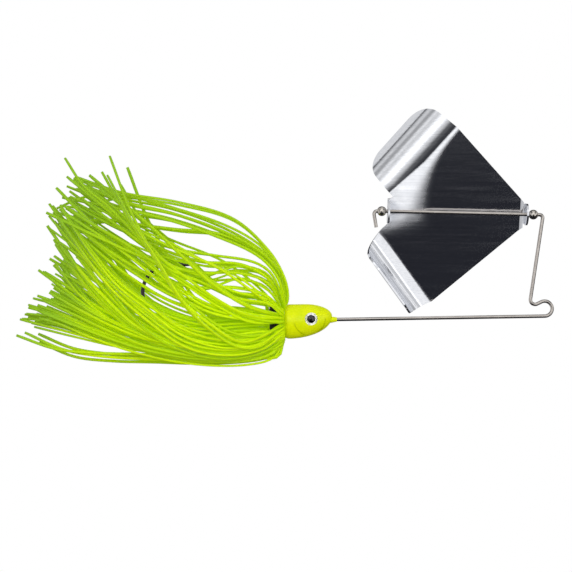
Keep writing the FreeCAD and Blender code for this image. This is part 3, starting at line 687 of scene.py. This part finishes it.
# --- the strands --------------------------------------------------------------------------------------
# Each route is a bundle of strands: how many on the right and on the left side, how far they fan out at
# the tips, and the points they follow, as (x, distance from the middle plane, z), all in millimetres.
FOLDED_ROUTES = {
    "top": (
        (1, 1, 1.2, ((-82, 3, 5), (-83, 5, 11), (-88, 6, 20), (-99, 7, 30), (-116, 8, 35),
                     (-134, 6, 38), (-149, 5, 43))),
        (2, 2, 2.0, ((-82, 2, 5), (-84, 3, 12), (-90, 4, 19), (-102, 5, 26), (-118, 6, 32),
                     (-135, 5, 36), (-150, 4, 42))),
        (1, 1, 0.8, ((-82, 1, 5), (-84, 1, 12), (-90, 2, 21), (-101, 3, 28), (-118, 4, 34),
                     (-134, 4, 38), (-144, 4, 37), (-152, 4, 33))),
        (1, 1, 1.0, ((-83, 3, 5), (-84, 4, 12), (-91, 6, 19), (-103, 7, 25), (-117, 8, 27),
                     (-128, 8, 29), (-138, 8, 31), (-153, 7, 30))),
    ),
    "upper": (
        (1, 1, 1.6, ((-83, 5, 5), (-85, 8, 12), (-91, 9, 19), (-104, 10, 25), (-120, 10, 30),
                     (-136, 9, 33), (-152, 8, 36))),
        (1, 1, 2.4, ((-83, 6, 4), (-87, 10, 13), (-93, 11, 17), (-105, 12, 19), (-118, 12, 21),
                     (-136, 11, 27), (-152, 9, 35))),
        (1, 1, 2.6, ((-84, 6, 4), (-88, 10, 11), (-97, 12, 16), (-110, 12, 17), (-125, 12, 22),
                     (-140, 11, 30), (-153, 9, 37))),
        (2, 2, 3.0, ((-84, 7, 3), (-88, 11, 10), (-97, 13, 13), (-109, 14, 13), (-123, 14, 17),
                     (-138, 13, 24), (-154, 10, 32))),
        (2, 1, 1.0, ((-84, 8, 2), (-90, 11, 7), (-99, 13, 9), (-110, 14, 9), (-122, 14, 12),
                     (-131, 13, 17), (-142, 12, 25), (-151, 10, 34))),
        (2, 1, 2.4, ((-84, 8, 3), (-86, 10, 6), (-90, 12, 10), (-97, 13, 13), (-110, 13, 10),
                     (-125, 13, 17), (-140, 12, 28), (-150, 10, 39))),
    ),
    "crossing": (
        (1, 1, 1.0, ((-84, 9, 2), (-93, 13, 9), (-104, 16, 17), (-120, 16, 24), (-134, 14, 31),
                     (-145, 12, 39), (-152, 10, 44))),
        (1, 0, 1.0, ((-84, 9, 1), (-97, 14, 11), (-107, 16, 16), (-119, 17, 23), (-132, 15, 29),
                     (-143, 13, 35), (-151, 11, 38))),
        (2, 1, 1.2, ((-84, 10, 0), (-94, 14, 2), (-105, 17, 9), (-114, 18, 17), (-124, 17, 26),
                     (-134, 15, 34), (-145, 13, 43))),
        (3, 1, 1.4, ((-84, 9, -2), (-94, 13, 0), (-104, 15, 5), (-113, 16, 11), (-122, 16, 17),
                     (-132, 15, 24), (-143, 13, 31), (-150, 12, 36))),
        (3, 1, 1.4, ((-84, 9, -3), (-95, 13, -2), (-107, 15, 1), (-118, 16, 8), (-127, 16, 16),
                     (-136, 15, 23), (-145, 13, 29), (-151, 12, 33))),
        (2, 1, 0.9, ((-84, 10, -3), (-91, 14, -8), (-98, 17, -8), (-106, 19, -3), (-114, 20, 5),
                     (-122, 20, 18), (-130, 19, 30), (-138, 17, 44))),
        (1, 1, 0.5, ((-84, 10, -2), (-91, 14, -7), (-97, 17, -8), (-105, 19, -3), (-114, 20, 5),
                     (-122, 20, 18), (-129, 18, 32), (-135, 16, 49))),
        (1, 0, 0.6, ((-84, 10, -3), (-92, 14, -7), (-99, 17, -6), (-107, 19, -1), (-115, 19, 7),
                     (-124, 19, 21), (-135, 17, 34), (-142, 16, 41), (-147, 15, 50))),
        (2, 2, 2.0, ((-84, 9, -4), (-91, 13, -9), (-102, 16, -10), (-114, 17, -6), (-124, 17, 2),
                     (-133, 17, 10), (-139, 16, 18), (-145, 14, 27), (-149, 13, 34))),
        (2, 1, 1.5, ((-84, 9, 0), (-88, 11, 3), (-98, 15, 5), (-109, 17, 10), (-119, 18, 14),
                     (-125, 18, 20), (-132, 17, 28), (-140, 15, 35), (-148, 13, 40))),
    ),
    "sweeping": (
        (6, 4, 2.8, ((-84, 8, -5), (-91, 11, -9), (-102, 14, -10), (-114, 15, -7), (-125, 15, 1),
                     (-136, 14, 11), (-144, 12, 21), (-152, 9, 32))),
        (6, 3, 2.8, ((-84, 7, -6), (-92, 10, -10), (-104, 12, -11), (-117, 13, -8), (-128, 13, -2),
                     (-138, 12, 8), (-146, 10, 18), (-153, 8, 29))),
        (5, 3, 2.8, ((-84, 5, -6), (-93, 7, -11), (-106, 8, -12), (-120, 9, -9), (-131, 9, -3),
                     (-141, 8, 6), (-148, 7, 15), (-154, 6, 24))),
        (2, 2, 1.6, ((-84, 5, -7), (-93, 8, -11), (-107, 9, -12), (-121, 9, -9), (-132, 8, -4),
                     (-141, 7, 2), (-149, 6, 9), (-156, 5, 18))),
        (2, 1, 1.6, ((-84, 5, -7), (-93, 8, -11), (-107, 9, -12), (-122, 9, -9), (-134, 8, -3),
                     (-144, 7, 3), (-152, 6, 9), (-159, 5, 14))),
        (2, 1, 1.6, ((-84, 6, -7), (-94, 9, -12), (-109, 11, -12), (-124, 11, -9), (-135, 10, -4),
                     (-147, 8, 2), (-157, 7, 9))),
        (3, 2, 1.8, ((-84, 6, -7), (-94, 9, -12), (-110, 11, -12), (-126, 11, -9), (-137, 10, -5),
                     (-148, 8, 0), (-158, 7, 5))),
    ),
    "bottom": (
        (5, 3, 2.2, ((-84, 3, -8), (-87, 5, -12), (-94, 6, -14), (-106, 7, -14), (-120, 7, -12),
                     (-134, 7, -8), (-147, 6, -3), (-156, 5, 1), (-163, 4, 3))),
        (4, 3, 2.0, ((-84, 1, -8), (-86, 2, -12), (-93, 2, -14), (-105, 3, -14), (-120, 3, -13),
                     (-136, 3, -9), (-148, 3, -5), (-158, 2, -2), (-164, 2, -1))),
        (2, 2, 1.6, ((-84, 4, -8), (-91, 6, -13), (-104, 7, -14), (-120, 7, -13), (-136, 6, -10),
                     (-150, 5, -6), (-163, 4, -2))),
        (2, 2, 1.2, ((-84, 2, -8), (-85, 3, -12), (-90, 4, -14), (-98, 4, -15), (-111, 4, -15),
                     (-125, 4, -14), (-139, 4, -13), (-151, 3, -11), (-162, 3, -6))),
        (1, 0, 0.3, ((-84, 3, -10), (-85, 4, -13), (-88, 5, -14), (-94, 6, -13), (-105, 6, -14),
                     (-122, 6, -11), (-138, 5, -7), (-154, 4, -1), (-164, 3, -1))),
    ),
}
STRAIGHT_ROUTES = (
    (4, 3, 2.8, ((-89, 2, 3), (-92, 2, 5), (-99, 1, 6), (-111, 1, 11), (-124, 2, 20),
                 (-137, 3, 31), (-148, 4, 40))),
    (6, 4, 3.0, ((-89, 3, 0), (-98, 6, 1), (-108, 8, 2), (-119, 9, 6), (-130, 9, 13),
                 (-140, 9, 21), (-150, 7, 30))),
    (7, 5, 3.0, ((-89, 4, -2), (-98, 7, -2), (-110, 9, -2), (-122, 10, 2), (-133, 10, 9),
                 (-143, 9, 18), (-153, 8, 26))),
    (5, 2, 1.0, ((-89, 3, -2), (-98, 6, -3), (-108, 8, -3), (-118, 10, -2), (-129, 10, 2),
                 (-139, 9, 10), (-149, 8, 18))),
    (6, 4, 2.8, ((-89, 3, -5), (-99, 5, -5), (-112, 6, -6), (-126, 6, -4), (-137, 6, 3),
                 (-146, 5, 10), (-155, 4, 16))),
    (5, 3, 2.4, ((-89, 2, -6), (-99, 4, -8), (-112, 4, -9), (-126, 4, -8), (-138, 4, -4),
                 (-149, 3, 2), (-158, 3, 6))),
    (4, 4, 3.0, ((-89, 1, -6), (-99, 1, -7), (-112, 1, -8), (-126, 1, -6), (-138, 1, -1),
                 (-148, 1, 6), (-155, 1, 13))),
    (4, 4, 2.6, ((-89, 1, -7), (-99, 1, -10), (-112, 1, -11), (-126, 1, -10), (-139, 1, -7),
                 (-151, 1, -2), (-159, 1, 1))),
)
# The part of the band that each lock folds over, in degrees from straight up.
LOCK_ANGLES = {
    "top": (4.0, 34.0),
    "upper": (34.0, 66.0),
    "crossing": (62.0, 116.0),
    "sweeping": (112.0, 152.0),
    "bottom": (150.0, 178.0),
}
SIDES = {"right": -1, "left": 1}
SKIRT_SEED = 7
# A strand's root under the band: how far its points are past the band's edge and outside the root's radius,
# in millimetres. A folded strand leaves at the front edge and a straight one at the rear edge.
ROOT_RADIUS = 3.0 * MM
FOLDED_ROOT = ((-1.5, 0.0), (0.5, 0.5), (1.3, 1.6), (1.5, 3.0))
STRAIGHT_ROOT = ((-1.5, 0.0), (0.6, 0.4))
# How far from the arm's line the strands of one stack lie over the band, the outer one first.
LAYERS_OVER_BAND = (7.4 * MM, 6.6 * MM, 5.8 * MM)
# Degrees that a strand may lie off its stack.
STACK_JITTER = 1.5

# A strand's section, how finely it is swept, and how much its ends are drawn in.
STRAND_WIDTH = 0.97 * MM
STRAND_THICKNESS = 0.7 * MM
WIDTH_SHARES = (0.85, 1.08)
SECTION_ROUNDING = 0.6
SECTION_CORNERS = 8
STRAND_RINGS = 46
STEPS_PER_RUN = 16
END_SHRINK = 0.86
# Radians from root to tip.
TWIST_SIGMA = 0.8
# Above 1, this makes more of the strands bright than deep.
TONE_POWER = 1.6

# How the strands of one bundle part. Their offsets are shares of the bundle's spread, smallest at the root,
# and a strand that is offset upwards is also set back.
FAN_SIGMA = 0.75
FAN_LIMIT = 1.4
FAN_AT_ROOT = 0.3
FAN_GROWTH = 1.2
FAN_SLANT = -0.35
STRETCH_SIGMA = 0.03
# Radians about the arm, at the root.
SWING_SIGMA = 0.13
# Millimetres from the middle plane.
LEAST_OUT = 0.8
# A strand's wave: millimetres, and radians along it and at its root.
RIPPLE_HEIGHT = 0.8
RIPPLE_TURN = 4.5
RIPPLE_STARTS = (0, 6.28)


def curve_through(points, count):
    """Evenly spaced points on a smooth curve through the given ones."""
    dense = []
    last = len(points) - 1
    for i in range(last):
        here, there = points[i], points[i + 1]
        before = points[max(i - 1, 0)]
        after = points[min(i + 2, last)]
        span = (there - here).length
        leave = (there - before).normalized() * span
        arrive = (after - here).normalized() * span
        for k in range(STEPS_PER_RUN):
            t = k / STEPS_PER_RUN
            t2, t3 = t * t, t * t * t
            dense.append(here * (2 * t3 - 3 * t2 + 1) + leave * (t3 - 2 * t2 + t)
                         + there * (3 * t2 - 2 * t3) + arrive * (t3 - t2))
    dense.append(points[-1])
    reached = [0.0]
    for a, b in zip(dense, dense[1:]):
        reached.append(reached[-1] + (b - a).length)
    even = []
    k = 0
    for i in range(count):
        wanted = reached[-1] * i / (count - 1)
        while k < len(dense) - 2 and reached[k + 1] < wanted:
            k += 1
        share = (wanted - reached[k]) / (reached[k + 1] - reached[k])
        even.append(dense[k].lerp(dense[k + 1], share))
    return even


def root_points(edge, outwards, steps, angle):
    """The strand's first points, from under the band to past its edge. outwards is 1 at the front edge."""
    return [
        around_arm(edge + outwards * past * MM, ROOT_RADIUS + outside * MM, angle)
        for past, outside in steps
    ]


def fan_offset(chance, spread):
    """How far one strand parts from its route, in millimetres."""
    return max(-FAN_LIMIT, min(FAN_LIMIT, chance.gauss(0, FAN_SIGMA))) * spread


def fanned(route, side, spread, chance):
    """One strand's points: the route on its side, parted from the others more and more towards the tip."""
    across = fan_offset(chance, spread)
    up = fan_offset(chance, spread)
    stretch = chance.gauss(0, STRETCH_SIGMA)
    swing = Matrix.Rotation(chance.gauss(0, SWING_SIGMA), 3, "X")
    ripple_start = chance.uniform(*RIPPLE_STARTS)
    arm = Vector((0, 0, ARM_Z))
    points = []
    for i, (x, out, z) in enumerate(route):
        share = i / (len(route) - 1)
        grown = FAN_AT_ROOT + (1 - FAN_AT_ROOT) * share ** FAN_GROWTH
        ripple = RIPPLE_HEIGHT * math.sin(ripple_start + RIPPLE_TURN * share) * share
        moved = MM * Vector((
            x + (x - route[0][0]) * stretch * share + FAN_SLANT * up * grown,
            side * max(out, LEAST_OUT) + across * grown,
            z + up * grown + ripple,
        ))
        swung = swing @ (moved - arm) + arm
        points.append(swung.lerp(moved, share))
    return points


def angle_round_arm(point):
    """How far round the arm a point is, from straight up, as a positive angle on either side."""
    return math.atan2(abs(point.y), point.z - ARM_Z)


def lock_lines(bodies, side, angles, chance):
    """The strands' lines, folded over the band in stacks that are spread evenly round it."""
    low, high = angles
    layers = len(LAYERS_OVER_BAND)
    stacks = max(1, len(bodies) // layers)
    lines = []
    for i, body in enumerate(sorted(bodies, key=lambda points: angle_round_arm(points[1]))):
        share = (min(i // layers, stacks - 1) + 0.5) / stacks
        jitter = chance.uniform(-STACK_JITTER, STACK_JITTER)
        angle = SIDES[side] * math.radians(low + (high - low) * share + jitter)
        body[0] = around_arm(body[0].x, LAYERS_OVER_BAND[i % layers], angle)
        root = root_points(BAND_HIGH.x, 1, FOLDED_ROOT, angle)
        lines.append(curve_through(root + body, STRAND_RINGS))
    return lines


def straight_line(body):
    """The line of a strand that leaves the band's rear."""
    angle = math.atan2(body[0].y, body[0].z - ARM_Z)
    root = root_points(BAND_LOW.x, -1, STRAIGHT_ROOT, angle)
    return curve_through(root + body, STRAND_RINGS)


def strand_section(width, thickness):
    """A flat strip's rounded section."""
    def squared(value):
        return math.copysign(abs(value) ** SECTION_ROUNDING, value)
    section = []
    for i in range(SECTION_CORNERS):
        angle = 2 * math.pi * (i + 0.5) / SECTION_CORNERS
        section.append((squared(math.cos(angle)) * width / 2, squared(math.sin(angle)) * thickness / 2))
    return section


def add_strand(line, chance, points, faces, tones, shares):
    """Adds one strand to the lists: a flat strip swept along its line and cut square at both ends."""
    tone = chance.random() ** TONE_POWER
    turn = chance.uniform(0, math.pi)
    twist = chance.gauss(0, TWIST_SIGMA)
    section = strand_section(STRAND_WIDTH * chance.uniform(*WIDTH_SHARES), STRAND_THICKNESS)
    start = len(points)
    across = (line[1] - line[0]).orthogonal().normalized()
    last = len(line) - 1
    for i, centre in enumerate(line):
        tangent = (line[min(i + 1, last)] - line[max(i - 1, 0)]).normalized()
        across = (across - tangent * across.dot(tangent)).normalized()
        angle = turn + twist * i / last
        side = across * math.cos(angle) + tangent.cross(across) * math.sin(angle)
        up = tangent.cross(side)
        shrink = END_SHRINK if i in (0, last) else 1.0
        for u, v in section:
            points.append(centre + (side * u + up * v) * shrink)
            tones.append(tone)
            shares.append(i / last)
    for i in range(last):
        here = start + i * SECTION_CORNERS
        there = here + SECTION_CORNERS
        for j in range(SECTION_CORNERS):
            k = (j + 1) % SECTION_CORNERS
            faces.append((here + j, here + k, there + k, there + j))
    faces.append(tuple(start + j for j in reversed(range(SECTION_CORNERS))))
    faces.append(tuple(start + last * SECTION_CORNERS + j for j in range(SECTION_CORNERS)))


def add_lock(name, lines, material, replaced, chance):
    """One piece holding the strands of a lock."""
    points, faces, tones, shares = [], [], [], []
    for line in lines:
        add_strand(line, chance, points, faces, tones, shares)
    piece = new_piece(name, points, faces, material, replaced)
    for attribute, values in (("tone", tones), ("along", shares)):
        layer = piece.data.attributes.new(attribute, "FLOAT", "POINT")
        layer.data.foreach_set("value", values)
    piece.visible_glossy = False


def bodies_of(routes, side, chance):
    """Every strand of one side, fanned out along its route."""
    bodies = []
    for right, left, spread, route in routes:
        for _ in range(right if side == "right" else left):
            bodies.append(fanned(route, SIDES[side], spread, chance))
    return bodies


def add_skirt(material):
    """The locks of folded strands, and the straight strands under them."""
    chance = random.Random(SKIRT_SEED)
    for lock, routes in FOLDED_ROUTES.items():
        for side in SIDES:
            lines = lock_lines(bodies_of(routes, side, chance), side, LOCK_ANGLES[lock], chance)
            node = f"skirt_{lock}_{side}"
            add_lock(node + "_strands", lines, material, [node], chance)
    straight = [straight_line(body) for side in SIDES for body in bodies_of(STRAIGHT_ROUTES, side, chance)]
    add_lock("skirt_straight_strands", straight, material, ["skirt_core"], chance)


# --- putting it together ------------------------------------------------------------------------------
add_camera()
set_world()
add_floor()
add_softboxes()
paint_nodes()
add_band(rubber_finish())
add_skirt(strand_finish())
bpy.context.scene.view_settings.view_transform = "Standard"
